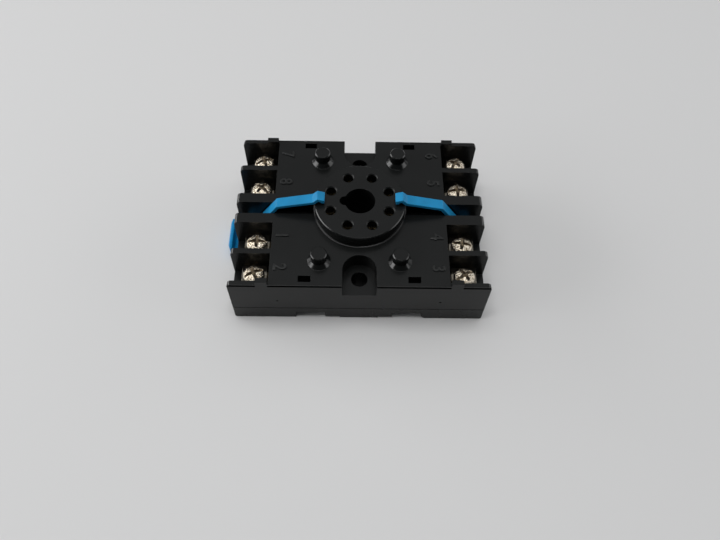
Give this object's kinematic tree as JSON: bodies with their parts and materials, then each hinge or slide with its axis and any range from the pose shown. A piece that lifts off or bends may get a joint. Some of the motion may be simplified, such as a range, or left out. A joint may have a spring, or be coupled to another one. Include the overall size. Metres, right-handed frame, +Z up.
{
  "type": "relay socket",
  "caption": "Plug-in relay socket: a black two-part housing with a round pin disc, screw terminals at both ends, blue hold-down levers and a rail latch.",
  "frame": {"origin": "midway between the two mounting holes, on the mounting plane, which is also on the axis of the pin disc", "axes": "+X along the socket, +Y across it towards the terminals numbered 5 to 8, +Z up from the mounting plane"},
  "size_m": [0.0736, 0.05, 0.0243],
  "materials": {
    "housing_black": "fine matt moulded plastic with a slight gloss on walls",
    "base_black": "fine matt moulded plastic",
    "lever_blue": "semi-gloss moulded plastic",
    "latch_blue": "semi-gloss moulded plastic",
    "washer_plated": "bright nickel plating",
    "screw_plated": "bright nickel plating",
    "contact_brass": "plain stamped brass"
  },
  "bodies": {
    "housing": {"upper_housing": "housing_black", "base": "base_black", "contact_1": "contact_brass", "contact_2": "contact_brass", "contact_3": "contact_brass", "contact_4": "contact_brass", "contact_5": "contact_brass", "contact_6": "contact_brass", "contact_7": "contact_brass", "contact_8": "contact_brass"},
    "washer_1": {"washer_1": "washer_plated"},
    "screw_1": {"screw_1": "screw_plated"},
    "washer_2": {"washer_2": "washer_plated"},
    "screw_2": {"screw_2": "screw_plated"},
    "washer_3": {"washer_3": "washer_plated"},
    "screw_3": {"screw_3": "screw_plated"},
    "washer_4": {"washer_4": "washer_plated"},
    "screw_4": {"screw_4": "screw_plated"},
    "washer_5": {"washer_5": "washer_plated"},
    "screw_5": {"screw_5": "screw_plated"},
    "washer_6": {"washer_6": "washer_plated"},
    "screw_6": {"screw_6": "screw_plated"},
    "washer_7": {"washer_7": "washer_plated"},
    "screw_7": {"screw_7": "screw_plated"},
    "washer_8": {"washer_8": "washer_plated"},
    "screw_8": {"screw_8": "screw_plated"},
    "lever_left": {"hold_down_lever_left": "lever_blue"},
    "lever_right": {"hold_down_lever_right": "lever_blue"},
    "latch": {"rail_latch": "latch_blue"}
  },
  "joints": [
    {"name": "screw_1_travel", "type": "slide", "parent": "housing", "child": "washer_1", "axis": [0, 0, 1], "range_m": [-0.00298, 0]},
    {"name": "screw_1_turn", "type": "hinge", "parent": "washer_1", "child": "screw_1", "pos_m": [-0.0286, -0.00932, 0.0094], "axis": [0, 0, 1], "range_deg": [-1790, 0]},
    {"name": "screw_2_travel", "type": "slide", "parent": "housing", "child": "washer_2", "axis": [0, 0, 1], "range_m": [-0.00298, 0]},
    {"name": "screw_2_turn", "type": "hinge", "parent": "washer_2", "child": "screw_2", "pos_m": [-0.0286, -0.01947, 0.0094], "axis": [0, 0, 1], "range_deg": [-1790, 0]},
    {"name": "screw_3_travel", "type": "slide", "parent": "housing", "child": "washer_3", "axis": [0, 0, 1], "range_m": [-0.00298, 0]},
    {"name": "screw_3_turn", "type": "hinge", "parent": "washer_3", "child": "screw_3", "pos_m": [0.0286, -0.01947, 0.0094], "axis": [0, 0, 1], "range_deg": [-1790, 0]},
    {"name": "screw_4_travel", "type": "slide", "parent": "housing", "child": "washer_4", "axis": [0, 0, 1], "range_m": [-0.00298, 0]},
    {"name": "screw_4_turn", "type": "hinge", "parent": "washer_4", "child": "screw_4", "pos_m": [0.0286, -0.00932, 0.0094], "axis": [0, 0, 1], "range_deg": [-1790, 0]},
    {"name": "screw_5_travel", "type": "slide", "parent": "housing", "child": "washer_5", "axis": [0, 0, 1], "range_m": [-0.00298, 0]},
    {"name": "screw_5_turn", "type": "hinge", "parent": "washer_5", "child": "screw_5", "pos_m": [0.0286, 0.00932, 0.0094], "axis": [0, 0, 1], "range_deg": [-1790, 0]},
    {"name": "screw_6_travel", "type": "slide", "parent": "housing", "child": "washer_6", "axis": [0, 0, 1], "range_m": [-0.00298, 0]},
    {"name": "screw_6_turn", "type": "hinge", "parent": "washer_6", "child": "screw_6", "pos_m": [0.0286, 0.01947, 0.0094], "axis": [0, 0, 1], "range_deg": [-1790, 0]},
    {"name": "screw_7_travel", "type": "slide", "parent": "housing", "child": "washer_7", "axis": [0, 0, 1], "range_m": [-0.00298, 0]},
    {"name": "screw_7_turn", "type": "hinge", "parent": "washer_7", "child": "screw_7", "pos_m": [-0.0286, 0.01947, 0.0094], "axis": [0, 0, 1], "range_deg": [-1790, 0]},
    {"name": "screw_8_travel", "type": "slide", "parent": "housing", "child": "washer_8", "axis": [0, 0, 1], "range_m": [-0.00298, 0]},
    {"name": "screw_8_turn", "type": "hinge", "parent": "washer_8", "child": "screw_8", "pos_m": [-0.0286, 0.00932, 0.0094], "axis": [0, 0, 1], "range_deg": [-1790, 0]},
    {"name": "lever_left_swing", "type": "hinge", "parent": "housing", "child": "lever_left", "pos_m": [-0.0305, 0, 0.009], "axis": [0, -1, 0], "range_deg": [0, 120]},
    {"name": "lever_right_swing", "type": "hinge", "parent": "housing", "child": "lever_right", "pos_m": [0.0305, 0, 0.009], "axis": [0, 1, 0], "range_deg": [0, 120]},
    {"name": "rail_latch_pull", "type": "slide", "parent": "housing", "child": "latch", "axis": [-1, 0, 0], "range_m": [0, 0.003], "stiffness_N_per_m": 1500, "springref_m": -0.002}
  ],
  "couplings": [
    {"joint": "screw_1_turn", "follows": "screw_1_travel", "rad_per_m": 10472},
    {"joint": "screw_2_turn", "follows": "screw_2_travel", "rad_per_m": 10472},
    {"joint": "screw_3_turn", "follows": "screw_3_travel", "rad_per_m": 10472},
    {"joint": "screw_4_turn", "follows": "screw_4_travel", "rad_per_m": 10472},
    {"joint": "screw_5_turn", "follows": "screw_5_travel", "rad_per_m": 10472},
    {"joint": "screw_6_turn", "follows": "screw_6_travel", "rad_per_m": 10472},
    {"joint": "screw_7_turn", "follows": "screw_7_travel", "rad_per_m": 10472},
    {"joint": "screw_8_turn", "follows": "screw_8_travel", "rad_per_m": 10472}
  ]
}
